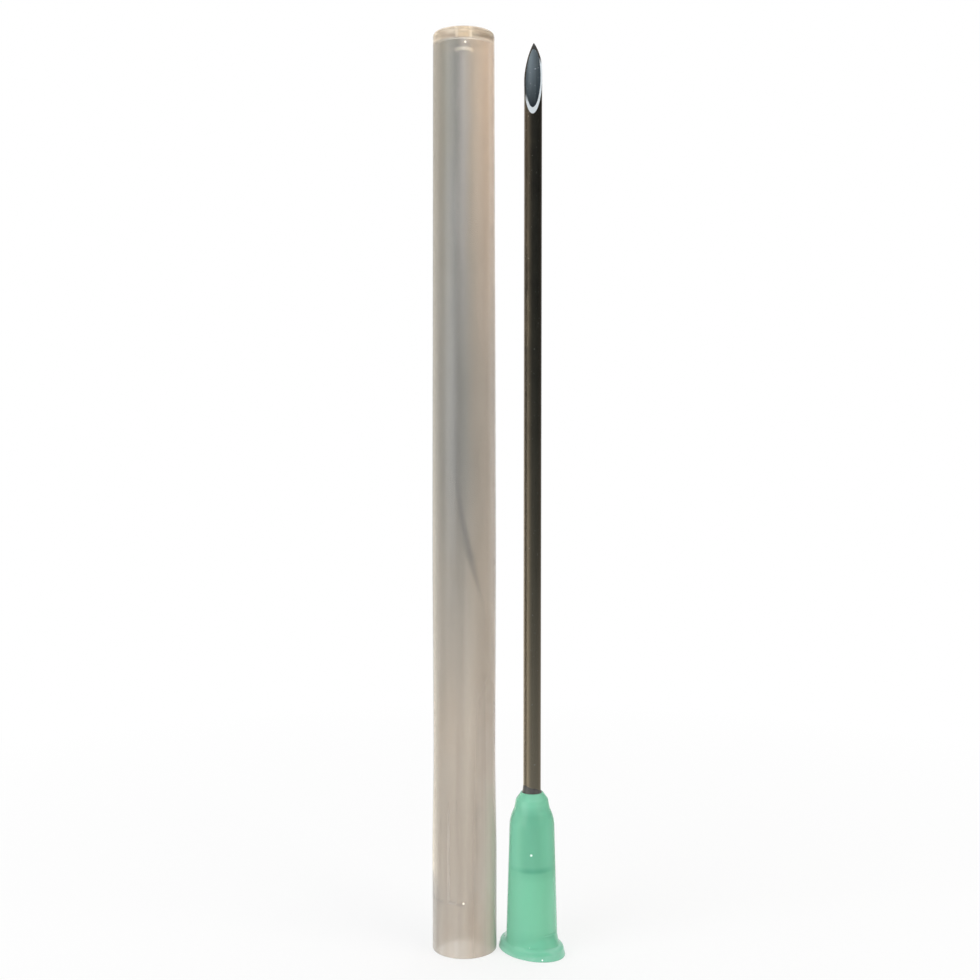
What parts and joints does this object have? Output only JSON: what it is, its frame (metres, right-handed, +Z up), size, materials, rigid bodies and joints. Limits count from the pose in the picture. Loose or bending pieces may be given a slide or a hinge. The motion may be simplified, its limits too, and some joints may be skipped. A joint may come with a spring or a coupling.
{
  "type": "luer infusion needle",
  "caption": "Wide infusion needle: a lancet-ground steel tube in a pale green luer hub, standing on its hub beside the long protective sheath taken off it.",
  "frame": {"origin": "on the surface that both pieces stand on, in the middle of the box round the pair", "axes": "+Z up along the needle, from the foot of the hub to the point; +X from the sheath to the needle; -Y towards the viewer of the picture"},
  "size_m": [0.0154, 0.0094, 0.1063],
  "materials": {
    "needle_steel": "drawn along its length, bright on the ground point",
    "pale_green_plastic": "satin gloss, lets light through",
    "set_adhesive": "clear and glossy over the dark well",
    "milky_plastic": "satin, hazy and see-through close up"
  },
  "bodies": {
    "root": {"cannula": "needle_steel", "hub": "pale_green_plastic", "adhesive": "set_adhesive", "sheath": "milky_plastic"}
  },
  "joints": []
}
